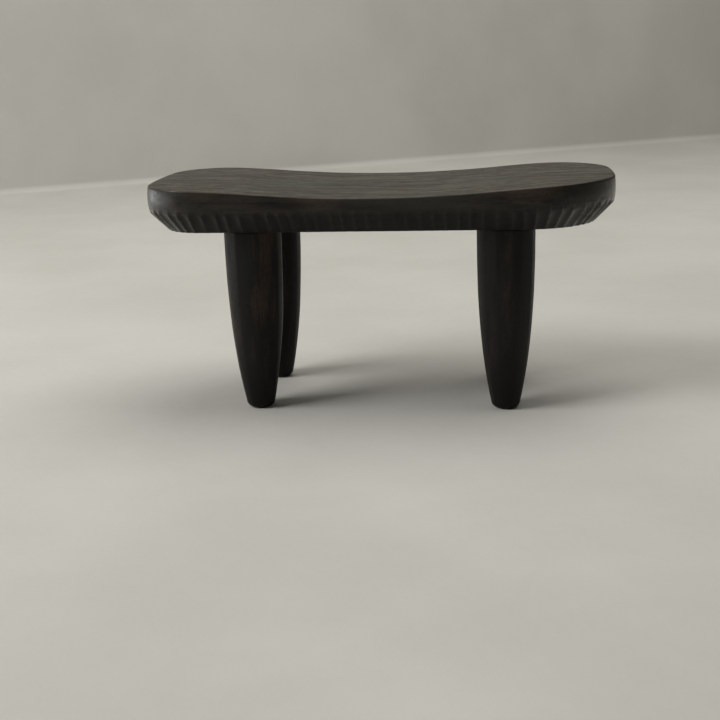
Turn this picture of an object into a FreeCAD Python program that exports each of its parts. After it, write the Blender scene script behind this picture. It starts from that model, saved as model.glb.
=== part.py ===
import FreeCAD, Part

import math
import os

# A low carved wooden stool: a dished seat glued up from three boards, on four tapered legs.
# Millimetres. The floor is z = 0, the seat's length runs along X and its front faces -Y.

# Seat
seat_length = 856.0
seat_width = 396.0
seat_height = 420.0
seat_thickness = 82.0
dish_drop = 18.0
end_bow = 16.0
side_bow = 3.0
corner_radius = {
    ("front", "right"): 160.0,
    ("back", "right"): 144.0,
    ("back", "left"): 118.0,
    ("front", "left"): 108.0,
}
chamfer_height = 36.0
chamfer_inset = 36.0
rim_round = 3.0

# Boards of the seat and the dowels across their two glue seams
middle_board_width = 132.0
dowel_radius = 7.0
dowel_length = 70.0
dowel_height = 30.0
dowel_beside_leg = 80.0
dowel_clearance = 0.1
dowel_end_gap = 1.0

# Legs, each set in from the seat's end and from its long side
leg_end_inset = 198.0
leg_side_inset = 91.0
leg_top_radius = 53.0
leg_foot_radius = 25.0
leg_taper_power = 2.6
leg_curve_spans = 6
foot_round = 10.0

# Round tenon of each leg, in an undercut blind mortise
tenon_radius = 25.0
tenon_length = 44.0
tenon_spread = 1.5
tenon_clearance = 0.1
mortise_end_gap = 2.0

# Fox wedge in the sawn end of each tenon
wedge_length = 34.0
wedge_width = 44.0
wedge_butt = 6.0
wedge_tip = 1.5
wedge_clearance = 0.1
kerf_end_gap = 3.0

# Felt pad let into each foot
pad_radius = 12.0
pad_thickness = 4.0
pad_proud = 1.5
pad_clearance = 0.2

seat_underside = seat_height - seat_thickness
leg_offset_x = seat_length / 2 - leg_end_inset
leg_offset_y = seat_width / 2 - leg_side_inset
seam_offset = middle_board_width / 2
wedge_butt_height = seat_underside + tenon_length + mortise_end_gap

SIDES = {"front": -1, "back": 1}
ENDS = {"left": -1, "right": 1}
UP = FreeCAD.Vector(0, 0, 1)

# How far a face's outward direction points up: at least this on the top, at most this on the band
LEVEL_TILT = 0.9
UPRIGHT_TILT = 0.01


def point(x, y, z=0.0):
    return FreeCAD.Vector(x, y, z)


def bow_radius(half_chord, bow):
    """Radius of an arc that stands out by bow over a chord of twice half_chord."""
    return (half_chord ** 2 + bow ** 2) / (2 * bow)


SIDE_RADIUS = bow_radius(seat_length / 2, side_bow)
END_RADIUS = bow_radius(seat_width / 2, end_bow)


def side_centre(side):
    return point(0, SIDES[side] * (seat_width / 2 - SIDE_RADIUS))


def end_centre(end):
    return point(ENDS[end] * (seat_length / 2 - END_RADIUS), 0)


def corner_centre(side, end):
    """Centre of the corner arc that touches the long side's arc and the end's arc from inside."""
    radius = corner_radius[side, end]
    near = side_centre(side)
    far = end_centre(end)
    near_reach = SIDE_RADIUS - radius
    far_reach = END_RADIUS - radius
    span = far.sub(near)
    along = (near_reach ** 2 - far_reach ** 2 + span.Length ** 2) / (2 * span.Length)
    across = math.sqrt(near_reach ** 2 - along ** 2)
    direction = span.normalize()
    outward = UP.cross(direction) * (SIDES[side] * ENDS[end])
    return near + direction * along - outward * across


def arc(centre, start, end):
    """Arc of less than half a circle about centre."""
    middle = (start - centre) + (end - centre)
    middle = centre + middle.normalize() * (start - centre).Length
    return Part.Arc(start, middle, end).toShape()


def outline(inset, height):
    """The seat's plan outline at a height, drawn in by inset all round."""
    touch = {}
    for side, end in corner_radius:
        centre = corner_centre(side, end)
        radius = corner_radius[side, end] - inset
        to_side = (centre - side_centre(side)).normalize()
        to_end = (centre - end_centre(end)).normalize()
        touch[side, end] = (centre, centre + to_side * radius, centre + to_end * radius)
    front_right = touch["front", "right"]
    back_right = touch["back", "right"]
    back_left = touch["back", "left"]
    front_left = touch["front", "left"]
    edges = [
        arc(side_centre("front"), front_left[1], front_right[1]),
        arc(front_right[0], front_right[1], front_right[2]),
        arc(end_centre("right"), front_right[2], back_right[2]),
        arc(back_right[0], back_right[2], back_right[1]),
        arc(side_centre("back"), back_right[1], back_left[1]),
        arc(back_left[0], back_left[1], back_left[2]),
        arc(end_centre("left"), back_left[2], front_left[2]),
        arc(front_left[0], front_left[2], front_left[1]),
    ]
    wire = Part.Wire(edges)
    wire.translate(point(0, 0, height))
    return wire


def dished_block():
    """Everything below the dished top: its profile levels off at the ends and dips in the middle."""
    half = seat_length / 2
    swing = bow_radius(half / 2, dish_drop / 2)
    turn = math.asin(half / 2 / swing)
    low = seat_height - dish_drop
    inflection = seat_height - dish_drop / 2
    hump_rise = swing * (1 - math.cos(turn / 2))
    hump_reach = swing * math.sin(turn / 2)
    right_end = point(half, 0, seat_height)
    right_hump = point(half - hump_reach, 0, seat_height - hump_rise)
    right_turn = point(half / 2, 0, inflection)
    left_turn = point(-half / 2, 0, inflection)
    left_hump = point(-half + hump_reach, 0, seat_height - hump_rise)
    left_end = point(-half, 0, seat_height)
    left_base = point(-half, 0, seat_underside)
    right_base = point(half, 0, seat_underside)
    profile = Part.Wire([
        Part.Arc(right_end, right_hump, right_turn).toShape(),
        Part.Arc(right_turn, point(0, 0, low), left_turn).toShape(),
        Part.Arc(left_turn, left_hump, left_end).toShape(),
        Part.makeLine(left_end, left_base),
        Part.makeLine(left_base, right_base),
        Part.makeLine(right_base, right_end),
    ])
    profile.translate(point(0, -seat_width, 0))
    return Part.Face(profile).extrude(point(0, 2 * seat_width, 0))


def rim_edges(seat):
    """Edges where the dished top meets the upright band."""
    top_edges = {}
    band_edges = set()
    for face in seat.Faces:
        u_low, u_high, v_low, v_high = face.ParameterRange
        tilt = face.normalAt((u_low + u_high) / 2, (v_low + v_high) / 2).z
        if tilt > LEVEL_TILT:
            top_edges.update({edge.hashCode(): edge for edge in face.Edges})
        elif abs(tilt) < UPRIGHT_TILT:
            band_edges.update(edge.hashCode() for edge in face.Edges)
    return [edge for code, edge in top_edges.items() if code in band_edges]


def seat_blank():
    """The whole carved seat, before it is bored and parted into its boards."""
    chamfer_top = seat_underside + chamfer_height
    lower = Part.makeLoft([outline(chamfer_inset, seat_underside), outline(0, chamfer_top)], True, True)
    upper = Part.Face(outline(0, chamfer_top)).extrude(point(0, 0, seat_height - chamfer_top))
    seat = lower.fuse(upper.common(dished_block())).removeSplitter()
    return seat.makeFillet(rim_round, rim_edges(seat))


def leg_places():
    for side in SIDES:
        for end in ENDS:
            yield side + "_" + end, point(ENDS[end] * leg_offset_x, SIDES[side] * leg_offset_y)


def tenon_cone(clearance, length):
    """Tenon or mortise body, a little wider at its blind end."""
    flare = tenon_spread * length / tenon_length
    base = tenon_radius + clearance
    return Part.makeCone(base, base + flare, length, point(0, 0, seat_underside))


def wedge_prism(width, clearance, low, high):
    """Tapered prism about the wedge's centre plane, between two heights."""
    slope = (wedge_butt - wedge_tip) / (2 * wedge_length)

    def half_thickness(z):
        return wedge_butt / 2 - slope * (wedge_butt_height - z) + clearance

    corners = [
        point(-half_thickness(low), -width / 2, low),
        point(half_thickness(low), -width / 2, low),
        point(half_thickness(high), -width / 2, high),
        point(-half_thickness(high), -width / 2, high),
    ]
    face = Part.Face(Part.makePolygon(corners + corners[:1]))
    return face.extrude(point(0, width, 0))


def wedge():
    return wedge_prism(wedge_width, 0, wedge_butt_height - wedge_length, wedge_butt_height)


def foot_pad():
    return Part.makeCylinder(pad_radius, pad_thickness)


def leg():
    """Turned leg with its tenon, sawn for the wedge and recessed for the pad."""
    length = seat_underside - pad_proud
    curve_points = []
    for step in range(leg_curve_spans + 1):
        down = step / leg_curve_spans
        radius = leg_top_radius - (leg_top_radius - leg_foot_radius) * down ** leg_taper_power
        curve_points.append(point(radius, 0, seat_underside - length * down))
    side = Part.BSplineCurve()
    side.interpolate(curve_points)
    axis_top = point(0, 0, seat_underside)
    axis_foot = point(0, 0, pad_proud)
    profile = Part.Wire([
        Part.makeLine(axis_top, curve_points[0]),
        side.toShape(),
        Part.makeLine(curve_points[-1], axis_foot),
        Part.makeLine(axis_foot, axis_top),
    ])
    body = Part.Face(profile).revolve(point(0, 0), UP, 360)
    foot_edges = [edge for edge in body.Edges if edge.BoundBox.ZMax < pad_proud + foot_round]
    body = body.makeFillet(foot_round, foot_edges)
    body = body.fuse(tenon_cone(0, tenon_length))
    kerf_low = wedge_butt_height - wedge_length - kerf_end_gap
    tenon_end_width = 2 * (tenon_radius + tenon_spread)
    kerf = wedge_prism(2 * tenon_end_width, wedge_clearance, kerf_low, wedge_butt_height)
    recess = Part.makeCylinder(pad_radius + pad_clearance, pad_thickness)
    return body.cut([kerf, recess]).removeSplitter()


def dowel_places():
    """Name and middle of each dowel: one at the middle of each seam and one on both sides of each leg."""
    reach = [leg_offset_x - dowel_beside_leg, leg_offset_x + dowel_beside_leg]
    rows = [-reach[1], -reach[0], 0.0, reach[0], reach[1]]
    for side in SIDES:
        for number, x in enumerate(rows, start=1):
            place = point(x, SIDES[side] * seam_offset, seat_underside + dowel_height)
            yield side + "_" + str(number), place


def dowel(place, clearance, end_gap):
    length = dowel_length + 2 * end_gap
    start = place - point(0, length / 2, 0)
    return Part.makeCylinder(dowel_radius + clearance, length, start, point(0, 1, 0))


def seat_boards():
    """Seat boards by name, bored for the tenons and the dowels."""
    mortise = tenon_cone(tenon_clearance, tenon_length + mortise_end_gap)
    cutters = [mortise.translated(place) for name, place in leg_places()]
    cutters += [dowel(place, dowel_clearance, dowel_end_gap) for name, place in dowel_places()]
    seat = seat_blank().cut(cutters)
    edges = {
        "front": (-seat_width, -seam_offset),
        "middle": (-seam_offset, seam_offset),
        "back": (seam_offset, seat_width),
    }
    boards = {}
    for name, (low, high) in edges.items():
        strip = Part.makeBox(2 * seat_length, high - low, seat_height, point(-seat_length, low))
        boards["seat_board_" + name] = seat.common(strip)
    return boards


def pieces():
    """Every piece of the stool by name, in place."""
    made = seat_boards()
    one_leg = leg()
    one_wedge = wedge()
    one_pad = foot_pad()
    for name, place in leg_places():
        made["leg_" + name] = one_leg.translated(place)
        made["wedge_" + name] = one_wedge.translated(place)
        made["foot_pad_" + name] = one_pad.translated(place)
    for name, place in dowel_places():
        made["seam_dowel_" + name] = dowel(place, 0, 0)
    return made


os.makedirs("parts", exist_ok=True)
for node, shape in pieces().items():
    solids = shape.Solids
    if len(solids) != 1 or not shape.isValid():
        raise ValueError(node + " is not one sound solid")
    solids[0].exportStep("parts/" + node + ".step")
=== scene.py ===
import bisect
import math
import random

import bmesh
import bpy
from mathutils import Matrix, Vector, noise


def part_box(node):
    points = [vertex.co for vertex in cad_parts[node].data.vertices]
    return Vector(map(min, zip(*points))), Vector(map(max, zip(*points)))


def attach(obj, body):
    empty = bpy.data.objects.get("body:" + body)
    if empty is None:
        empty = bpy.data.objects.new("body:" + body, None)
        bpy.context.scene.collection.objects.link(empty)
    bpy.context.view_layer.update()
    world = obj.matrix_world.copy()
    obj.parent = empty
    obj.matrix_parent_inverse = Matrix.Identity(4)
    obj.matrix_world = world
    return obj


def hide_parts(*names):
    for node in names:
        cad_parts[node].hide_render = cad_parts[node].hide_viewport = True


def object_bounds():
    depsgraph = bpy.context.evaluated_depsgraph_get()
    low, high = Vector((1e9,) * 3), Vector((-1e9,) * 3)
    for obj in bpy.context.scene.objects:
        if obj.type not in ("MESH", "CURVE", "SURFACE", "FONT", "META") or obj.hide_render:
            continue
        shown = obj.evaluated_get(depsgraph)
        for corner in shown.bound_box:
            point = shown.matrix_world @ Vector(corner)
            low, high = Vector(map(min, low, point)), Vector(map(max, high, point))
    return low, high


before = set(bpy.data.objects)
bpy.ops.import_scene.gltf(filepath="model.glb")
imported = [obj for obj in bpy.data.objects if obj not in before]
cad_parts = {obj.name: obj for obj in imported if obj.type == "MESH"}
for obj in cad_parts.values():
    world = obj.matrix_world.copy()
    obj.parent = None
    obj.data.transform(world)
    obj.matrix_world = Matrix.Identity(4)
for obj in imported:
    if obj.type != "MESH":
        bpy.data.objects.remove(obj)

# A low carved wooden stool: a dished seat glued up from three boards, with a gouged lower edge,
# on four tapered legs. Metres. The floor is z = 0, the seat's length runs along X, the front faces -Y.

cad_low, cad_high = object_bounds()
MM = 0.001
SIDES = {"front": -1, "back": 1}
ENDS = {"left": -1, "right": 1}
LEG_NAMES = [side + "_" + end for side in SIDES for end in ENDS]

# Sizes read from the frame
SEAT_LENGTH = cad_high.x - cad_low.x
SEAT_WIDTH = cad_high.y - cad_low.y
SEAT_HEIGHT = cad_high.z
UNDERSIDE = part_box("seat_board_middle")[0].z
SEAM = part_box("seat_board_middle")[1].y

# Seat plan and edge, as on the solid boards
DISH_DROP = 18 * MM
END_BOW = 16 * MM
SIDE_BOW = 3 * MM
CORNER_RADIUS = {
    ("front", "left"): 108 * MM,
    ("front", "right"): 160 * MM,
    ("back", "right"): 144 * MM,
    ("back", "left"): 118 * MM,
}
CHAMFER_HEIGHT = 36 * MM
CHAMFER_INSET = 36 * MM
CHAMFER_TOP = UNDERSIDE + CHAMFER_HEIGHT
RIM_ROUND = 3 * MM

# Gouge cuts round the lower edge
FLUTE_COUNT = 100
FLUTE_SEED = 7
FLUTE_RISE = 6 * MM
FLUTE_END_RISE = 8 * MM
FLUTE_LEAST = 0.35
FLUTE_PATCH = 90 * MM
FLUTE_RISE_SPREAD = 0.35
FLUTE_WIDTH_SPREAD = 0.30
FLUTE_REACH = 11 * MM
FLUTE_CREASE = 2.2 * MM
FLUTE_FOOT = 0.3

# Hand-worked unevenness of the top, the band, the underside's edge and the legs
TOP_WAVE = 0.5 * MM
TOP_WAVE_SIZE = 90 * MM
TOP_WAVE_SQUEEZE = 2.2
TOP_WAVE_SLICE = 0.3
BAND_BULGE = 1.6 * MM
BAND_WAVE = 0.5 * MM
BAND_WAVE_SIZE = 45 * MM
BAND_WAVE_SQUEEZE = 2
UNDERSIDE_EASE = 1.5 * MM
EASE_DRAW_IN = 1.5 * UNDERSIDE_EASE
EASE_SLOPE = 0.5
LEG_WAVE = 0.35 * MM
LEG_WAVES_PER_METRE = 30
LEG_WAVE_STEP = 9.0
LEG_FACETS = 13
FACET_WIDTH_SPREAD = 0.5
FACET_DEPTH = 0.35
FACET_RUN = 110 * MM
FACET_STEP = 3.7
FACET_LEG_STEP = 5.1

# Legs, tenons and bores, as on the solids
LEG_TOP_RADIUS = 53 * MM
LEG_FOOT_RADIUS = 25 * MM
LEG_TAPER_POWER = 2.6
LEG_ARRIS = 1 * MM
FOOT_ROUND = 10 * MM
PAD_PROUD = 1.5 * MM
PAD_RECESS_RADIUS = 12.2 * MM
PAD_RECESS_TOP = 4 * MM
TENON_RADIUS = 25 * MM
TENON_LENGTH = 44 * MM
TENON_SPREAD = 1.5 * MM
KERF_START = 9 * MM
KERF_HALF_START = 0.65 * MM
KERF_HALF_END = 2.97 * MM
MORTISE_DEPTH = 46 * MM
MORTISE_CLEARANCE = 0.1 * MM
DOWEL_BORE_RADIUS = 7.1 * MM
DOWEL_BORE_DEPTH = 36 * MM
DOWEL_HEIGHT = 30 * MM
DOWEL_ROWS = [-310 * MM, -150 * MM, 0.0, 150 * MM, 310 * MM]

# Mesh fineness
HALF_STATIONS = 700
SPINE_SHARE = 0.62
TOP_ROWS = 22
RIM_ROWS = 6
BAND_ROWS = 9
FLUTE_ROWS = 32
EASE_ROWS = 3
LEG_STEPS = 144
LEG_ROWS = 90
FOOT_ROWS = 10
RECESS_ROWS = 4
TENON_ROWS = 3
BORE_STEPS = 48
SHARP_ANGLE = math.radians(38)
TOUCHING = 0.001 * MM
SEAT_MERGE = 0.02 * MM
CUT_SLACK = 0.0001 * MM

# Marks that the finish reads from the mesh; some of them paint light and shade into the colour
MARKS = (
    # the rubbed rim, and a painted highlight along its arris
    "wear_and_highlight",  # the rim, rubbed on the long sides
    "polish",  # the rim, all round
    # pale bare wood between two cuts, also a painted glint along the ridges
    "crest",  # bare wood between two cuts
    # painted shade: the cuts of the lower edge, a line under the rim at the ends, the underside and the
    # legs toward the floor
    "painted_shade",  # dark recesses
    "top",  # the sat-on surface
    "end_grain",  # cut fibre ends
)
# Painted glint along the crests of the cuts, full at the ends and faint (CREST_LEAST) on the worked
# long sides; WORKED_GLOW eases the painted shade in the middle of the cuts there
CREST_FINENESS = 9
CREST_LEAST = 0.08
CREST_LEAST_FINENESS = 3
WORKED_GLOW = 0.4
CUT_FADE = 3
END_GRAIN_FALL = 3
# Painted shade: a dark line under the rim at the ends, the underside and its bores, the legs toward the
# floor
RIM_SHADE = 0.9
UNDERSIDE_SHADE = 0.6
FOOT_SHADE = 0.9
FOOT_SHADE_HEIGHT = 190 * MM

# Floor and walls
BACK_WALL = 3.8
FRONT_WALL = -9.0
LEFT_WALL = -14.0
RIGHT_WALL = 9.0
WALL_HEIGHT = 6.0
WALL_TURN = math.radians(32)
COVE = 0.03
COVE_STEPS = 24

# Light
NEUTRAL = (1.0, 1.0, 1.0)
WARM_WHITE = (1.0, 0.985, 0.945)
COOL_WHITE = (0.95, 0.98, 1.0)
WORLD_STRENGTH = 0.15

# Camera, as registered to the photograph
IMAGE_PIXELS = 720
FOCAL_PIXELS = 1235.5
SENSOR_WIDTH = 36.0
CAMERA_PLACE = Vector((0.2201, -2.3155, 0.6791))
CAMERA_HEADING = math.radians(6.707)
CAMERA_PITCH = math.radians(14.865)
CAMERA_ROLL = math.radians(-1.686)


# Plan of the seat

def bow_radius(half_chord, bow):
    """Radius of an arc that stands out by bow over a chord of twice half_chord."""
    return (half_chord ** 2 + bow ** 2) / (2 * bow)


SIDE_RADIUS = bow_radius(SEAT_LENGTH / 2, SIDE_BOW)
END_RADIUS = bow_radius(SEAT_WIDTH / 2, END_BOW)
DISH_RADIUS = bow_radius(SEAT_LENGTH / 4, DISH_DROP / 2)


def side_centre(side):
    return Vector((0, SIDES[side] * (SEAT_WIDTH / 2 - SIDE_RADIUS), 0))


def end_centre(end):
    return Vector((ENDS[end] * (SEAT_LENGTH / 2 - END_RADIUS), 0, 0))


def corner_centre(side, end):
    """Centre of the corner arc that touches the long side's arc and the end's arc from inside."""
    near = side_centre(side)
    span = end_centre(end) - near
    near_reach = SIDE_RADIUS - CORNER_RADIUS[side, end]
    far_reach = END_RADIUS - CORNER_RADIUS[side, end]
    along = (near_reach ** 2 - far_reach ** 2 + span.length ** 2) / (2 * span.length)
    across = math.sqrt(near_reach ** 2 - along ** 2)
    direction = span.normalized()
    outward = Vector((-direction.y, direction.x, 0)) * (SIDES[side] * ENDS[end])
    return near + direction * along - outward * across


def bearing(direction):
    """Turn of a direction, counted up from the left end's outward direction."""
    angle = math.atan2(direction.y, direction.x)
    while angle < math.pi:
        angle += 2 * math.pi
    return angle


def outline_arcs():
    """Centre, radius, first and last bearing of each arc of the plan, from the left end's middle on."""
    arcs = []
    angle = math.pi
    for side, end in CORNER_RADIUS:
        corner = corner_centre(side, end)
        to_side = bearing(corner - side_centre(side))
        to_end = bearing(corner - end_centre(end))
        if (side, end) in (("front", "left"), ("back", "right")):
            arcs.append((end_centre(end), END_RADIUS, angle, to_end))
            first, last = to_end, to_side
        else:
            arcs.append((side_centre(side), SIDE_RADIUS, angle, to_side))
            first, last = to_side, to_end
        arcs.append((corner, CORNER_RADIUS[side, end], first, last))
        angle = last
    arcs.append((end_centre("left"), END_RADIUS, angle, 3 * math.pi))
    return arcs


def half_outline(first, last):
    """Evenly spaced points along half of the plan, each with its outward direction."""
    runs = []
    for centre, radius, start, stop in outline_arcs():
        start = max(start, first)
        stop = min(stop, last)
        if stop > start:
            runs.append((centre, radius, start, stop))
    total = sum(radius * (stop - start) for _, radius, start, stop in runs)
    for step in range(HALF_STATIONS):
        travel = total * step / HALF_STATIONS
        for centre, radius, start, stop in runs:
            if travel <= radius * (stop - start):
                break
            travel -= radius * (stop - start)
        angle = start + travel / radius
        outward = Vector((math.cos(angle), math.sin(angle), 0))
        yield centre + outward * radius, outward


def spread(point, size, amount):
    """Smooth unevenness between 0 and amount."""
    return amount * (0.5 + 0.5 * noise.noise(Vector(point) / size))


def top_height(x, y):
    """Height of the dished top: level at the ends, low in the middle, a little uneven."""
    reach = min(abs(x), SEAT_LENGTH / 2)
    if reach < SEAT_LENGTH / 4:
        height = SEAT_HEIGHT - DISH_DROP + DISH_RADIUS - math.sqrt(DISH_RADIUS ** 2 - reach ** 2)
    else:
        from_end = SEAT_LENGTH / 2 - reach
        height = SEAT_HEIGHT - DISH_RADIUS + math.sqrt(DISH_RADIUS ** 2 - from_end ** 2)
    return height - spread((x, TOP_WAVE_SQUEEZE * y, TOP_WAVE_SLICE), TOP_WAVE_SIZE, TOP_WAVE)


def smooth_larger(first, second, blend):
    """The larger of two values, with a soft change between them."""
    return (first + second + math.sqrt((first - second) ** 2 + blend ** 2)) / 2


# Cuts in a ring: the flutes of the seat and the drawknife flats of a leg

def uneven_starts(count, unevenness, draw):
    """Where each of a ring of cuts starts, in steps of one cut, and at the end the first one again."""
    starts = [index + unevenness * (draw.random() - 0.5) for index in range(count)]
    return starts + [starts[0] + count]


def cut_at(starts, share):
    """Number of the cut at a share of the way round, its width, and the way across it from -1 to 1."""
    count = len(starts) - 1
    place = starts[0] + (share * count - starts[0]) % count
    index = bisect.bisect_right(starts, place, 1, count) - 1
    width = starts[index + 1] - starts[index]
    return index, width, 2 * (place - starts[index]) / width - 1


# Mesh helpers

def new_verts(made):
    return [part for part in made["geom"] if isinstance(part, bmesh.types.BMVert)]


def edges_among(verts):
    """Edges that run between the given vertices, in the order of the vertices."""
    inside = set(verts)
    touching = [edge for vert in verts for edge in vert.link_edges]
    return list(dict.fromkeys(edge for edge in touching if inside.issuperset(edge.verts)))


def ring_up(bm, steps, rows, shape):
    """Extrudes a ring of edges row by row; shape(step, row) gives each vertex's place and its marks."""
    bm.verts.layers.int.new("ring_step")
    for mark in MARKS:
        bm.verts.layers.float.new(mark)
    number = bm.verts.layers.int["ring_step"]
    layers = bm.verts.layers.float
    ring = bmesh.ops.create_circle(bm, segments=steps, radius=1.0)["verts"]
    for step, vert in enumerate(ring):
        vert[number] = step
    edges = edges_among(ring)
    for row in range(rows):
        if row:
            made = bmesh.ops.extrude_edge_only(bm, edges=edges)
            ring = new_verts(made)
            edges = edges_among(ring)
        for vert in ring:
            vert.co, marks = shape(vert[number], row)
            for mark, amount in marks.items():
                vert[layers[mark]] = amount
    return ring


def fill_cut(bm, outer_edges, bores):
    """Fills a flat cut, leaving its bores open, and gives each bore its wall and its blind end."""
    edges = list(outer_edges)
    shade = bm.verts.layers.float["painted_shade"]
    rings = []
    for mouth, depth, radius, end_radius in bores:
        facing = depth.to_track_quat("Z", "Y").to_matrix().to_4x4()
        place = Matrix.Translation(mouth) @ facing
        ring = bmesh.ops.create_circle(bm, segments=BORE_STEPS, radius=radius, matrix=place)["verts"]
        # The bore's wall and end take the underside's painted shade
        for vert in ring:
            vert[shade] = UNDERSIDE_SHADE
        rings.append(edges_among(ring))
        edges += rings[-1]
    bmesh.ops.triangle_fill(bm, edges=edges, use_beauty=True, use_dissolve=False)
    for ring, (mouth, depth, radius, end_radius) in zip(rings, bores):
        made = bmesh.ops.extrude_edge_only(bm, edges=ring)
        for vert in new_verts(made):
            vert.co = mouth + (vert.co - mouth) * (end_radius / radius) + depth
        bmesh.ops.edgeloop_fill(bm, edges=edges_among(new_verts(made)))


def finish_piece(bm, node, material):
    """Makes the mesh an object that stands for its CAD node and moves with the stool."""
    name = "carved_" + node
    bmesh.ops.recalc_face_normals(bm, faces=bm.faces[:])
    for face in bm.faces:
        face.smooth = True
    bm.verts.layers.int.remove(bm.verts.layers.int["ring_step"])
    mesh = bpy.data.meshes.new(name)
    bm.to_mesh(mesh)
    bm.free()
    mesh.set_sharp_from_angle(angle=SHARP_ANGLE)
    mesh.materials.append(material)
    piece = bpy.data.objects.new(name, mesh)
    bpy.context.collection.objects.link(piece)
    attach(piece, "root")
    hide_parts(node)


# Seat boards

def seat_shell():
    """Top, rim, band and gouged edge of the whole seat, open underneath."""
    front = list(half_outline(math.pi, 2 * math.pi))
    back = list(half_outline(2 * math.pi, 3 * math.pi))
    stations = front + back
    count = len(stations)
    draw = random.Random(FLUTE_SEED)
    starts = uneven_starts(FLUTE_COUNT, FLUTE_WIDTH_SPREAD, draw)
    rises = [1 + FLUTE_RISE_SPREAD * draw.uniform(-1, 1) for _ in starts]
    spine = []
    flutes = []
    for step, (place, outward) in enumerate(stations):
        mate = stations[-step % count][0]
        spine.append(Vector((SPINE_SHARE * (place.x + mate.x) / 2, 0, 0)))
        index, _, across = cut_at(starts, step / count)
        worked = FLUTE_LEAST + spread(place, FLUTE_PATCH, 1 - FLUTE_LEAST)
        side_rise = FLUTE_RISE * worked
        rise = side_rise + (FLUTE_END_RISE - side_rise) * abs(outward.x)
        flutes.append((rise * rises[index] * (1 - across ** 2), abs(across), worked))
    flute_top = CHAMFER_TOP + FLUTE_REACH
    ease_top = UNDERSIDE + UNDERSIDE_EASE
    slope = CHAMFER_INSET / CHAMFER_HEIGHT

    def edge_inset(step, height):
        """How far the seat's edge lies inside its plan at a height."""
        place = stations[step][0]
        rise = flutes[step][0]
        rim_height = top_height(place.x, place.y) - RIM_ROUND
        middle = (rim_height + CHAMFER_TOP) / 2
        band = BAND_BULGE * ((height - middle) / (rim_height - middle)) ** 2
        band += spread((place.x, place.y, BAND_WAVE_SQUEEZE * height), BAND_WAVE_SIZE, BAND_WAVE)
        share = min(max((height - UNDERSIDE) / CHAMFER_HEIGHT, 0.0), 1.0)
        cut = slope * (CHAMFER_TOP - height) + rise * (FLUTE_FOOT + (1 - FLUTE_FOOT) * share)
        return smooth_larger(band, cut, FLUTE_CREASE)

    def shape(step, row):
        """Place and marks of a vertex, with the rows counted from the spine outwards and down."""
        place, outward = stations[step]
        _, crest, worked = flutes[step]
        toward_end = abs(outward.x)
        rim_height = top_height(place.x, place.y)
        rim_inset = edge_inset(step, rim_height - RIM_ROUND)
        rim_start = place - outward * (rim_inset + RIM_ROUND)
        if row <= TOP_ROWS:
            spot = spine[step].lerp(rim_start, row / TOP_ROWS)
            return Vector((spot.x, spot.y, top_height(spot.x, spot.y))), {"top": 1.0}
        row -= TOP_ROWS
        start_height = top_height(rim_start.x, rim_start.y)
        if row <= RIM_ROWS:
            turn = math.pi / 2 * row / RIM_ROWS
            spot = rim_start + outward * (RIM_ROUND * math.sin(turn))
            spot.z = start_height - RIM_ROUND * (1 - math.cos(turn))
            arris = math.sin(2 * turn)
            # Rubbed rim on the long sides, also a painted highlight; a painted shade line under the rim
            # at the ends
            return spot, {
                "wear_and_highlight": arris * (1 - toward_end),
                "polish": arris,
                "painted_shade": RIM_SHADE * toward_end * math.sin(turn),
                "top": math.cos(turn),
            }
        row -= RIM_ROWS
        band_top = start_height - RIM_ROUND
        end_grain = toward_end ** END_GRAIN_FALL
        if row <= BAND_ROWS:
            share = row / BAND_ROWS
            height = band_top + (flute_top - band_top) * share
            inset = edge_inset(step, height)
            inset += (rim_inset - edge_inset(step, band_top)) * (1 - share)
            marks = {}
        elif row <= BAND_ROWS + FLUTE_ROWS:
            share = (row - BAND_ROWS) / FLUTE_ROWS
            height = flute_top + (ease_top - flute_top) * share
            inset = edge_inset(step, height)
            cut = min(1.0, CUT_FADE * share)
            # Painted glint along the crests: full at the ends, faint on the worked long sides; the cuts
            # fill with painted shade, eased in their middle on the long sides
            bare_and_glint = toward_end * crest ** CREST_FINENESS
            bare_and_glint += CREST_LEAST * worked * crest ** CREST_LEAST_FINENESS
            glow = WORKED_GLOW * worked * (1 - toward_end) * (1 - crest)
            marks = {"crest": min(1.0, bare_and_glint) * cut, "painted_shade": cut * (1 - glow)}
        else:
            share = (row - BAND_ROWS - FLUTE_ROWS) / EASE_ROWS
            turn = share * math.pi / 2
            height = ease_top + (UNDERSIDE - ease_top) * math.sin(turn)
            inset = edge_inset(step, ease_top) + EASE_DRAW_IN * (1 - math.cos(turn))
            inset += EASE_SLOPE * slope * (ease_top - height)
            # Painted shade, easing from the cuts' full depth to the underside's
            marks = {"painted_shade": 1 + (UNDERSIDE_SHADE - 1) * share}
            end_grain *= 1 - share
        marks["end_grain"] = end_grain
        spot = place - outward * inset
        spot.z = height
        return spot, marks

    bm = bmesh.new()
    rows = TOP_ROWS + RIM_ROWS + BAND_ROWS + FLUTE_ROWS + EASE_ROWS
    ring_up(bm, count, rows + 1, shape)
    bmesh.ops.remove_doubles(bm, verts=bm.verts[:], dist=SEAT_MERGE)
    return bm


def on_seam(edge, seam):
    return all(abs(vert.co.y - seam) < TOUCHING for vert in edge.verts)


def is_low(vert):
    return abs(vert.co.z - UNDERSIDE) < TOUCHING


def mortises(low, high):
    """Mouth, depth and radii of the leg mortises between two widths of the seat."""
    base = TENON_RADIUS + MORTISE_CLEARANCE
    flare = TENON_SPREAD * MORTISE_DEPTH / TENON_LENGTH
    for name in LEG_NAMES:
        place = leg_place(name)
        if low < place.y < high:
            mouth = Vector((place.x, place.y, UNDERSIDE))
            yield mouth, Vector((0, 0, MORTISE_DEPTH)), base, base + flare


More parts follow.
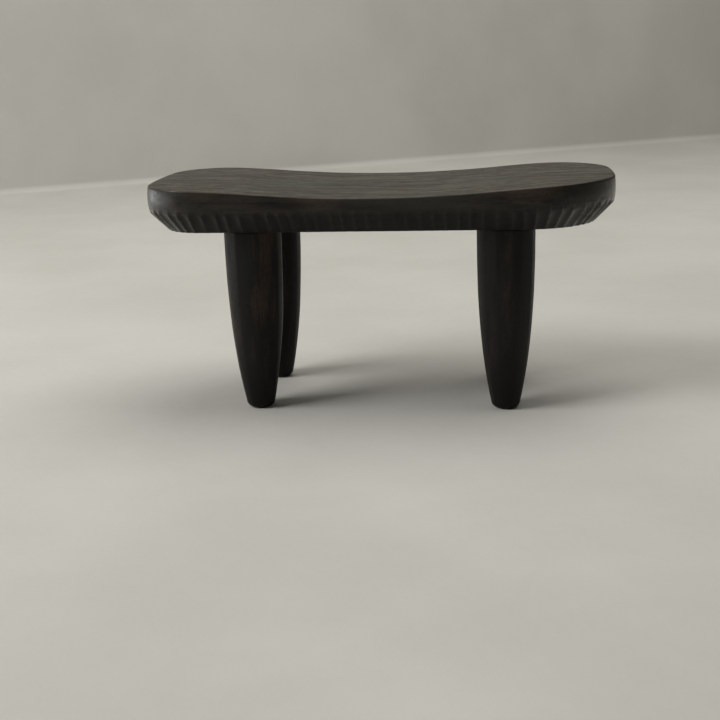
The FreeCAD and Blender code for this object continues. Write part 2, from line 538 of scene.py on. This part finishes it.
def dowel_bores(seam, inward):
    """Mouth, depth and radii of the dowel bores in one seam face."""
    for x in DOWEL_ROWS:
        mouth = Vector((x, seam, UNDERSIDE + DOWEL_HEIGHT))
        depth = Vector((0, inward * DOWEL_BORE_DEPTH, 0))
        yield mouth, depth, DOWEL_BORE_RADIUS, DOWEL_BORE_RADIUS


def seat_board(shell, name, low, high, material):
    """One board, cut out of the carved seat at its seams, closed and bored."""
    bm = shell.copy()
    cuts = [(seam, side) for seam, side in ((low, -1), (high, 1)) if abs(seam) < SEAT_WIDTH / 2]
    for seam, side in cuts:
        bmesh.ops.bisect_plane(
            bm,
            geom=bm.verts[:] + bm.edges[:] + bm.faces[:],
            dist=CUT_SLACK,
            plane_co=(0, seam, 0),
            plane_no=(0, side, 0),
            clear_outer=True,
        )
    for seam, side in cuts:
        chain = [edge for edge in bm.edges if edge.is_boundary and on_seam(edge, seam)]
        ends = [vert for edge in chain for vert in edge.verts if is_low(vert)]
        ends.sort(key=lambda vert: vert.co.x)
        chain.append(bm.edges.new((ends[0], ends[-1])))
        fill_cut(bm, chain, list(dowel_bores(seam, -side)))
    lower_edges = [edge for edge in bm.edges if edge.is_boundary and all(map(is_low, edge.verts))]
    fill_cut(bm, lower_edges, list(mortises(low, high)))
    finish_piece(bm, name, material)


# Legs

def leg_place(name):
    low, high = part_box("leg_" + name)
    return Vector(((low.x + high.x) / 2, (low.y + high.y) / 2, 0))


def leg_radius(height):
    down = (UNDERSIDE - height) / (UNDERSIDE - PAD_PROUD)
    return LEG_TOP_RADIUS - (LEG_TOP_RADIUS - LEG_FOOT_RADIUS) * down ** LEG_TAPER_POWER


def tenon_radius(rise):
    return TENON_RADIUS + TENON_SPREAD * rise / TENON_LENGTH


def leg_profile():
    """Radius and height up the leg, from the pad recess round the foot to the foot of the saw cut."""
    lean = math.atan((leg_radius(PAD_PROUD + FOOT_ROUND) - LEG_FOOT_RADIUS) / FOOT_ROUND)
    foot_flat = LEG_FOOT_RADIUS + FOOT_ROUND * (math.tan(lean) - 1 / math.cos(lean))
    points = [
        (0.0, PAD_RECESS_TOP),
        (PAD_RECESS_RADIUS, PAD_RECESS_TOP),
        (PAD_RECESS_RADIUS, PAD_PROUD),
    ]
    for step in range(FOOT_ROWS + 1):
        turn = math.radians(-90) + (math.radians(90) - lean) * step / FOOT_ROWS
        radius = foot_flat + FOOT_ROUND * math.cos(turn)
        points.append((radius, PAD_PROUD + FOOT_ROUND * (1 + math.sin(turn))))
    start = points[-1][1]
    arris = UNDERSIDE - LEG_ARRIS
    for step in range(1, LEG_ROWS + 1):
        height = start + (arris - start) * step / LEG_ROWS
        points.append((leg_radius(height), height))
    points.append((LEG_TOP_RADIUS - LEG_ARRIS / 3, UNDERSIDE - LEG_ARRIS / 3))
    points.append((LEG_TOP_RADIUS - LEG_ARRIS, UNDERSIDE))
    points.append((TENON_RADIUS, UNDERSIDE))
    points.append((tenon_radius(KERF_START), UNDERSIDE + KERF_START))
    return points


def facet_sink(starts, seed, share, height):
    """Share of the leg's radius that a drawknife flat takes off."""
    index, width, across = cut_at(starts, share)
    half = math.pi * width / LEG_FACETS
    flat = 1 - math.cos(half) / math.cos(half * across)
    spot = Vector((FACET_STEP * index, FACET_LEG_STEP * seed, height / FACET_RUN))
    return flat * FACET_DEPTH * (1 + noise.noise(spot))


def leg_piece(name, seed, material):
    """One carved leg with its tenon and the saw cut for its wedge."""
    place = leg_place(name)
    profile = leg_profile()
    starts = uneven_starts(LEG_FACETS, FACET_WIDTH_SPREAD, random.Random(seed))
    worked = range(RECESS_ROWS, len(profile) - TENON_ROWS)

    def shape(step, row):
        radius, height = profile[row]
        share = (step + 0.5) / LEG_STEPS
        angle = 2 * math.pi * share
        if row in worked:
            radius *= 1 - facet_sink(starts, seed, share, height)
            rise = LEG_WAVES_PER_METRE * height + LEG_WAVE_STEP * seed
            radius -= spread((math.cos(angle), math.sin(angle), rise), 1.0, LEG_WAVE)
        spot = place + Vector((radius * math.cos(angle), radius * math.sin(angle), height))
        # Painted shade, darker toward the floor
        from_floor = min(1.0, height / FOOT_SHADE_HEIGHT)
        return spot, {"painted_shade": FOOT_SHADE * (1 - from_floor)}

    bm = bmesh.new()
    ring = ring_up(bm, LEG_STEPS, len(profile), shape)
    saw_tenon(bm, ring, place)
    bmesh.ops.remove_doubles(bm, verts=bm.verts[:], dist=TOUCHING)
    finish_piece(bm, "leg_" + name, material)


def saw_tenon(bm, ring, place):
    """Raises the tenon's two cheeks on either side of the saw cut."""
    corners = sorted(ring, key=lambda vert: abs(vert.co.x - place.x))[:4]
    for vert in corners:
        vert.co.x = place.x + math.copysign(KERF_HALF_START, vert.co.x - place.x)
    bmesh.ops.contextual_create(bm, geom=corners)
    end_radius = tenon_radius(TENON_LENGTH)
    for side in (-1, 1):
        cheek = [vert for vert in ring if side * (vert.co.x - place.x) > 0]
        made = bmesh.ops.extrude_edge_only(bm, edges=edges_among(cheek))
        raised = new_verts(made)
        for vert in raised:
            out = vert.co - place
            reach = end_radius * abs(out.x) / math.hypot(out.x, out.y)
            x = side * max(reach, KERF_HALF_END)
            y = math.copysign(math.sqrt(end_radius ** 2 - x ** 2), out.y)
            vert.co = place + Vector((x, y, UNDERSIDE + TENON_LENGTH))
        bmesh.ops.edgeloop_fill(bm, edges=edges_among(raised))


# Materials

class Finish:
    """A node-built material with short ways to add and wire its nodes."""

    # Sockets of the mix node that belong to colours
    MIX_SHARE = 0
    MIX_FIRST = 6
    MIX_SECOND = 7
    MIX_RESULT = 2

    def __init__(self, name):
        self.material = bpy.data.materials.new(name)
        self.material.use_nodes = True
        self.tree = self.material.node_tree
        self.tree.nodes.clear()
        self.output = self.tree.nodes.new("ShaderNodeOutputMaterial")
        self.shader = self.tree.nodes.new("ShaderNodeBsdfPrincipled")
        self.tree.links.new(self.shader.outputs["BSDF"], self.output.inputs["Surface"])

    def put(self, value, socket):
        if isinstance(value, bpy.types.NodeSocket):
            self.tree.links.new(value, socket)
        else:
            socket.default_value = value

    def node(self, kind, inputs, **settings):
        made = self.tree.nodes.new("ShaderNode" + kind)
        for name, value in settings.items():
            setattr(made, name, value)
        for name, value in inputs.items():
            self.put(value, made.inputs[name])
        return made

    def coordinates(self):
        return self.node("TexCoord", {}).outputs["Object"]

    def place(self, vector, scale=(1, 1, 1), turn=(0, 0, 0), shift=(0, 0, 0)):
        inputs = {"Vector": vector, "Scale": scale, "Rotation": turn, "Location": shift}
        return self.node("Mapping", inputs).outputs["Vector"]

    def cloud(self, vector, scale=1.0, detail=3.0, roughness=0.55, output="Fac"):
        inputs = {"Vector": vector, "Scale": scale, "Detail": detail, "Roughness": roughness}
        return self.node("TexNoise", inputs).outputs[output]

    def along(self, grain, length, width, detail=3.0, roughness=0.6):
        """Unevenness drawn out along the grain, in marks of about the given length and width."""
        stretched = self.place(grain, scale=(1 / length, 1 / width, 1 / width))
        return self.cloud(stretched, detail=detail, roughness=roughness)

    def attribute(self, name):
        return self.node("Attribute", {}, attribute_name=name).outputs["Fac"]

    def ease(self, value, low, high, to_low=0.0, to_high=1.0):
        """Soft step from to_low to to_high as the value goes from low to high."""
        inputs = {
            "Value": value,
            "From Min": low,
            "From Max": high,
            "To Min": to_low,
            "To Max": to_high,
        }
        return self.node("MapRange", inputs, interpolation_type="SMOOTHSTEP").outputs["Result"]

    def math(self, operation, first, second):
        made = self.node("Math", {}, operation=operation)
        self.put(first, made.inputs[0])
        self.put(second, made.inputs[1])
        return made.outputs["Value"]

    def add(self, first, second):
        return self.math("ADD", first, second)

    def times(self, first, second):
        return self.math("MULTIPLY", first, second)

    def weighted(self, *parts):
        """Sum of some patterns, each times its share."""
        total, *others = [self.times(pattern, share) for pattern, share in parts]
        for other in others:
            total = self.add(total, other)
        return total

    def blend(self, share, first, second):
        """Colour that goes from the first to the second with the share."""
        made = self.node("Mix", {}, data_type="RGBA")
        self.put(share, made.inputs[self.MIX_SHARE])
        self.put(first, made.inputs[self.MIX_FIRST])
        self.put(second, made.inputs[self.MIX_SECOND])
        return made.outputs[self.MIX_RESULT]

    def vector(self, operation, first, second):
        made = self.node("VectorMath", {}, operation=operation)
        self.put(first, made.inputs[0])
        self.put(second, made.inputs[1])
        return made.outputs["Vector"]

    def set(self, **inputs):
        for name, value in inputs.items():
            self.put(value, self.shader.inputs[name.replace("_", " ")])

    def bump(self, height, distance, strength):
        inputs = {"Height": height, "Distance": distance, "Strength": strength}
        self.put(self.node("Bump", inputs).outputs["Normal"], self.shader.inputs["Normal"])


DARK_STAIN = (0.0042, 0.0037, 0.0033, 1)
BAND_STAIN = (0.036, 0.0300, 0.0240, 1)
LEG_STAIN = (0.0075, 0.0066, 0.0058, 1)
TOP_DARK = (0.025, 0.0222, 0.0160, 1)
WARM_HEARTWOOD = (0.050, 0.031, 0.022, 1)
# Slate and olive tones: partly stain, partly a painted sheen whose cool grey stands in for reflected
# light
SLATE_STAIN_AND_SHEEN = (0.0090, 0.0096, 0.0100, 1)
OLIVE_STAIN_AND_SHEEN = (0.020, 0.0205, 0.017, 1)
OLIVE_TOP_AND_SHEEN = (0.046, 0.048, 0.036, 1)
# Rubbed rim colour, also a painted highlight
RUBBED_EDGE_AND_HIGHLIGHT = (0.13, 0.090, 0.072, 1)
# Pale bare wood of the crests, also a painted glint
BARE_CREST_AND_GLINT = (0.33, 0.305, 0.26, 1)
FIBRE_ENDS = (0.013, 0.0122, 0.0102, 1)
PORE_DARK = (0.003, 0.0026, 0.0023, 1)
SEAT_GLOSS = 0.2
LEG_GLOSS = 0.16
WAX_ROUGHNESS = 0.25
WAX_FALL = 0.4

HARDWOOD_DARK = (0.40, 0.25, 0.13, 1)
HARDWOOD_LIGHT = (0.56, 0.39, 0.23, 1)
HARDWOOD_PORE = (0.22, 0.13, 0.07, 1)
HARDWOOD_STREAKS = (9, 260, 260)
HARDWOOD_PORES = (90, 1500, 1500)
FELT_DARK = (0.012, 0.011, 0.010, 1)
FELT_LIGHT = (0.05, 0.046, 0.042, 1)
PLASTER_DARK = (0.455, 0.445, 0.405, 1)
PLASTER_LIGHT = (0.505, 0.495, 0.455, 1)

ALONG_X = (0.0, 0.0, 0.0)
ALONG_Y = (0.0, 0.0, math.radians(90))
ALONG_Z = (0.0, math.radians(90), 0.0)
ELSEWHERE = (4.3, 1.7, 2.9)
DRIFT_SCALE = (1.6, 7, 7)
DRIFT_MIDDLE = (0.5, 0.5, 0.5)
DRIFT_REACH = (0.0, 16 * MM, 16 * MM)


def wood_grain(made, turn, shift):
    """Coordinates laid along the grain, which wanders a little."""
    grain = made.place(made.coordinates(), turn=turn, shift=shift)
    drift = made.cloud(made.place(grain, scale=DRIFT_SCALE), detail=2.0, output="Color")
    drift = made.vector("SUBTRACT", drift, DRIFT_MIDDLE)
    drift = made.vector("MULTIPLY", drift, DRIFT_REACH)
    return made.vector("ADD", grain, drift)


def seat_wood(name, shift, top_stain, warm):
    """Dark stained, waxed board: fine lengthwise grain on top, a smooth dark edge, waxed fibre ends."""
    made = Finish(name)
    grain = wood_grain(made, ALONG_X, shift)
    rings = made.node(
        "TexWave",
        {"Vector": grain, "Scale": 42.0, "Distortion": 2.4, "Detail": 2.0, "Detail Scale": 1.4},
        wave_type="RINGS",
        rings_direction="X",
    ).outputs["Fac"]
    streaks = made.along(grain, 260 * MM, 9 * MM, detail=5.0, roughness=0.72)
    threads = made.along(grain, 110 * MM, 2.4 * MM)
    flecks = made.along(grain, 42 * MM, 5 * MM, roughness=0.68)
    pores = made.ease(made.along(grain, 10 * MM, 1.0 * MM, detail=1.0), 0.60, 0.70)
    patches = made.along(grain, 180 * MM, 90 * MM, detail=4.0)
    clouds = made.along(made.place(grain, shift=ELSEWHERE), 300 * MM, 150 * MM)
    wear_and_highlight, polish, crest, painted_shade, top, end_grain = (made.attribute(mark) for mark in MARKS)

    # Band and ends
    edge_tone = made.weighted((clouds, 0.5), (streaks, 0.35), (flecks, 0.15))
    colour = made.blend(made.ease(edge_tone, 0.40, 0.62), DARK_STAIN, BAND_STAIN)
    # Olive clouds: partly stain, partly a painted grey sheen
    colour = made.blend(made.times(made.ease(clouds, 0.48, 0.66), 0.6), colour, OLIVE_STAIN_AND_SHEEN)
    rubbed = made.times(made.ease(patches, 0.50, 0.70), made.ease(streaks, 0.40, 0.60, 0.6, 1.0))
    colour = made.blend(made.times(rubbed, warm), colour, WARM_HEARTWOOD)
    end_tone = made.ease(made.add(made.times(rings, 0.35), threads), 0.35, 1.05)
    end_colour = made.blend(end_tone, DARK_STAIN, FIBRE_ENDS)
    colour = made.blend(made.times(end_grain, 0.85), colour, end_colour)

    # Top
    top_tone = made.weighted((streaks, 0.35), (threads, 0.40), (flecks, 0.25))
    top_colour = made.blend(made.ease(top_tone, 0.40, 0.60), TOP_DARK, top_stain)
    top_colour = made.blend(made.times(rubbed, 0.4), top_colour, WARM_HEARTWOOD)
    # Olive clouds on the top: partly stain, partly a painted grey sheen
    top_colour = made.blend(made.times(made.ease(clouds, 0.50, 0.66), 0.6), top_colour, OLIVE_TOP_AND_SHEEN)
    colour = made.blend(top, colour, top_colour)

    # Pores, painted shade in the recesses, the rubbed rim with a painted highlight, and bare crests
    # with a painted glint
    colour = made.blend(made.times(pores, 0.7), colour, PORE_DARK)
    # Painted shade in the cuts, under the rim at the ends and on the underside
    colour = made.blend(painted_shade, colour, DARK_STAIN)
    # Rubbed rim on the long sides, also a painted highlight along the arris
    wear_and_highlight_share = made.times(wear_and_highlight, made.ease(patches, 0.40, 0.66, 0.05, 1.0))
    colour = made.blend(made.times(wear_and_highlight_share, 0.4), colour, RUBBED_EDGE_AND_HIGHLIGHT)
    # Pale bare crests, also a painted glint of light along them
    bare_and_glint = made.times(crest, made.ease(flecks, 0.38, 0.60, 0.5, 1.0))
    colour = made.blend(bare_and_glint, colour, BARE_CREST_AND_GLINT)

    # Gloss, wax on the ends and grain relief
    top_sheen = made.ease(made.weighted((streaks, 0.5), (flecks, 0.5)), 0.42, 0.58, 0.32, 0.0)
    sheen = made.add(made.times(top, top_sheen), made.ease(clouds, 0.3, 0.7, 0.34, 0.44))
    sheen = made.add(sheen, made.weighted((pores, 0.2), (polish, -0.22)))
    wax = made.math("POWER", end_grain, WAX_FALL)
    wax = made.times(wax, made.ease(flecks, 0.36, 0.62, 0.5, 1.0))
    relief = made.weighted((streaks, 0.6), (threads, 0.4), (flecks, 0.4), (pores, -0.4))
    made.set(Base_Color=colour, Roughness=sheen, Specular_IOR_Level=SEAT_GLOSS)
    made.set(Coat_Weight=wax, Coat_Roughness=WAX_ROUGHNESS)
    made.bump(relief, 0.25 * MM, made.ease(top, 0.0, 1.0, 0.4, 0.7))
    return made.material


def leg_wood(name, shift, warm):
    """Near-black waxed leg with upright grain: short fine pores, soft brown patches, slate patches that
    are partly a painted grey sheen, and painted shade toward the foot.
    """
    made = Finish(name)
    grain = wood_grain(made, ALONG_Z, shift)
    threads = made.along(grain, 50 * MM, 2.4 * MM)
    pores = made.ease(made.along(grain, 8 * MM, 1.0 * MM, detail=1.0), 0.56, 0.68)
    patches = made.along(grain, 240 * MM, 42 * MM, detail=4.0)
    clouds = made.along(made.place(grain, shift=ELSEWHERE), 260 * MM, 45 * MM)
    painted_shade = made.attribute("painted_shade")

    colour = made.blend(made.ease(threads, 0.35, 0.65), DARK_STAIN, LEG_STAIN)
    # Slate clouds: partly stain, partly a painted grey sheen
    colour = made.blend(made.times(made.ease(clouds, 0.44, 0.64), 0.7), colour, SLATE_STAIN_AND_SHEEN)
    rubbed = made.times(made.ease(patches, 0.44, 0.72), made.ease(threads, 0.35, 0.6, 0.6, 1.0))
    colour = made.blend(made.times(rubbed, warm), colour, WARM_HEARTWOOD)
    colour = made.blend(made.times(pores, 0.7), colour, PORE_DARK)
    # Painted shade toward the foot
    colour = made.blend(painted_shade, colour, DARK_STAIN)

    sheen = made.add(made.ease(clouds, 0.3, 0.7, 0.40, 0.50), made.times(pores, 0.2))
    relief = made.weighted((threads, 0.5), (pores, -0.5))
    made.set(Base_Color=colour, Roughness=sheen, Specular_IOR_Level=LEG_GLOSS)
    made.bump(relief, 0.3 * MM, 0.5)
    return made.material


def bare_hardwood(name, turn):
    """Unstained hardwood of the hidden wedges and dowels."""
    made = Finish(name)
    grain = made.place(made.coordinates(), turn=turn)
    streaks = made.cloud(made.place(grain, scale=HARDWOOD_STREAKS), detail=4.0, roughness=0.6)
    pores = made.ease(made.cloud(made.place(grain, scale=HARDWOOD_PORES), detail=1.0), 0.58, 0.70)
    colour = made.blend(made.ease(streaks, 0.3, 0.7), HARDWOOD_DARK, HARDWOOD_LIGHT)
    colour = made.blend(made.times(pores, 0.5), colour, HARDWOOD_PORE)
    made.set(Base_Color=colour, Roughness=made.ease(streaks, 0.3, 0.7, 0.55, 0.7))
    made.bump(made.math("SUBTRACT", streaks, pores), 0.2 * MM, 0.4)
    return made.material


def wool_felt(name):
    """Dark pressed felt of the foot pads."""
    made = Finish(name)
    spot = made.coordinates()
    hairs = made.cloud(spot, scale=900.0, detail=5.0, roughness=0.7)
    tufts = made.cloud(spot, scale=220.0, detail=3.0)
    colour = made.blend(made.ease(hairs, 0.35, 0.65), FELT_DARK, FELT_LIGHT)
    made.set(Base_Color=colour, Roughness=made.ease(tufts, 0.3, 0.7, 0.85, 1.0))
    made.bump(made.add(hairs, tufts), 0.6 * MM, 0.7)
    return made.material


def pale_plaster(name):
    """Plain pale floor and walls with a little trowelled unevenness."""
    made = Finish(name)
    spot = made.coordinates()
    broad = made.cloud(spot, scale=1.6, detail=4.0)
    fine = made.cloud(spot, scale=38.0, detail=5.0, roughness=0.65)
    colour = made.blend(made.ease(broad, 0.3, 0.7), PLASTER_DARK, PLASTER_LIGHT)
    made.set(Base_Color=colour, Roughness=made.ease(fine, 0.3, 0.7, 0.75, 0.9))
    made.bump(fine, 2 * MM, 0.35)
    return made.material


# The stool's pieces

BOARD_SPAN = {"front": (-SEAT_WIDTH, -SEAM), "middle": (-SEAM, SEAM), "back": (SEAM, SEAT_WIDTH)}
BOARD_GRAIN_SHIFT = {
    "front": (0.31, 0.16, -0.43),
    "middle": (1.74, 0.05, -0.45),
    "back": (3.12, -0.09, -0.44),
}
BOARD_TOP_STAIN = {
    "front": (0.060, 0.053, 0.037, 1),
    "middle": (0.054, 0.051, 0.037, 1),
    "back": (0.058, 0.052, 0.037, 1),
}
BOARD_WARMTH = {"front": 0.75, "middle": 0.6, "back": 0.7}

carved_seat = seat_shell()
for board, (low, high) in BOARD_SPAN.items():
    seat_finish = seat_wood(
        "seat_wood_" + board, BOARD_GRAIN_SHIFT[board], BOARD_TOP_STAIN[board], BOARD_WARMTH[board]
    )
    seat_board(carved_seat, "seat_board_" + board, low, high, seat_finish)
carved_seat.free()

LEG_WARMTH = {"front_left": 0.9, "front_right": 0.5, "back_left": 0.5, "back_right": 0.7}
LEG_GRAIN_STEP = 1.3
LEG_PITH = Vector((0.045, -0.03, 0))
for number, leg_name in enumerate(LEG_NAMES):
    pith = leg_place(leg_name) + LEG_PITH
    shift = (LEG_GRAIN_STEP * number, -pith.y, pith.x)
    leg_finish = leg_wood("leg_wood_" + leg_name, shift, LEG_WARMTH[leg_name])
    leg_piece(leg_name, number + 1, leg_finish)

KEPT_FINISHES = {
    "wedge": bare_hardwood("wedge_hardwood", ALONG_Z),
    "seam_dowel": bare_hardwood("dowel_hardwood", ALONG_Y),
    "foot_pad": wool_felt("pad_felt"),
}
for node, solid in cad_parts.items():
    for kind, finish in KEPT_FINISHES.items():
        if node.startswith(kind):
            for slot in solid.material_slots:
                slot.material = finish


# Floor and walls, light and camera

def studio_floor():
    """A floor with plain walls all round, open above, standing askew to the stool."""
    bm = bmesh.new()
    bmesh.ops.create_cube(bm, size=1.0)
    size = (RIGHT_WALL - LEFT_WALL, BACK_WALL - FRONT_WALL, WALL_HEIGHT)
    middle = ((RIGHT_WALL + LEFT_WALL) / 2, (BACK_WALL + FRONT_WALL) / 2, WALL_HEIGHT / 2)
    bmesh.ops.scale(bm, verts=bm.verts[:], vec=size)
    bmesh.ops.translate(bm, verts=bm.verts[:], vec=middle)
    ceiling = [face for face in bm.faces if face.calc_center_median().z > WALL_HEIGHT - COVE]
    bmesh.ops.delete(bm, geom=ceiling, context="FACES_ONLY")
    corners = [edge for edge in bm.edges if len(edge.link_faces) == 2]
    bmesh.ops.bevel(
        bm,
        geom=corners,
        offset=COVE,
        offset_type="OFFSET",
        segments=COVE_STEPS,
        profile=0.5,
        affect="EDGES",
        material=-1,
    )
    bmesh.ops.rotate(bm, verts=bm.verts[:], matrix=Matrix.Rotation(WALL_TURN, 3, "Z"))
    bmesh.ops.reverse_faces(bm, faces=bm.faces[:])
    for face in bm.faces:
        face.smooth = True
    mesh = bpy.data.meshes.new("floor")
    bm.to_mesh(mesh)
    bm.free()
    mesh.materials.append(pale_plaster("floor_plaster"))
    floor = bpy.data.objects.new("floor", mesh)
    bpy.context.collection.objects.link(floor)


def soft_light(name, place, target, width, height, power, colour):
    """A rectangular lamp that faces its target."""
    lamp = bpy.data.lights.new(name, "AREA")
    lamp.shape = "RECTANGLE"
    lamp.size = width
    lamp.size_y = height
    lamp.energy = power
    lamp.color = colour
    light = bpy.data.objects.new(name, lamp)
    light.location = place
    light.rotation_euler = (Vector(target) - Vector(place)).to_track_quat("-Z", "Y").to_euler()
    bpy.context.collection.objects.link(light)
    return light


studio_floor()
soft_light(
    "window_light",
    place=(-4.2, -2.0, 3.6),
    target=(0.0, 0.0, 0.2),
    width=2.6,
    height=2.6,
    power=225,
    colour=NEUTRAL,
)
soft_light(
    "wall_light",
    place=(-4.8, -3.2, 4.0),
    target=(-8.0, -0.6, 2.2),
    width=3.0,
    height=3.0,
    power=190,
    colour=NEUTRAL,
)
soft_light(
    "overhead_light",
    place=(1.2, 1.4, 5.0),
    target=(1.2, 1.4, 0.0),
    width=5.0,
    height=5.0,
    power=195,
    colour=WARM_WHITE,
)
# A low window on the left that shows in gloss alone
window_glow = soft_light(
    "window_glow",
    place=(-2.2, -0.12, 0.29),
    target=(0.0, -0.12, 0.29),
    width=2.4,
    height=0.34,
    power=5.9,
    colour=COOL_WHITE,
)
window_glow.visible_camera = False
window_glow.visible_diffuse = False

world = bpy.data.worlds.new("studio")
world.use_nodes = True
background = world.node_tree.nodes["Background"]
background.inputs["Color"].default_value = (1.0, 1.0, 1.0, 1)
background.inputs["Strength"].default_value = WORLD_STRENGTH
bpy.context.scene.world = world

lens = bpy.data.cameras.new("camera")
lens.sensor_width = SENSOR_WIDTH
lens.lens = SENSOR_WIDTH * FOCAL_PIXELS / IMAGE_PIXELS
camera = bpy.data.objects.new("camera", lens)
aim = Matrix.Rotation(CAMERA_HEADING, 4, "Z") @ Matrix.Rotation(math.pi / 2 - CAMERA_PITCH, 4, "X")
camera.matrix_world = Matrix.Translation(CAMERA_PLACE) @ aim @ Matrix.Rotation(CAMERA_ROLL, 4, "Z")
bpy.context.collection.objects.link(camera)
bpy.context.scene.camera = camera
bpy.context.scene.view_settings.view_transform = "Standard"
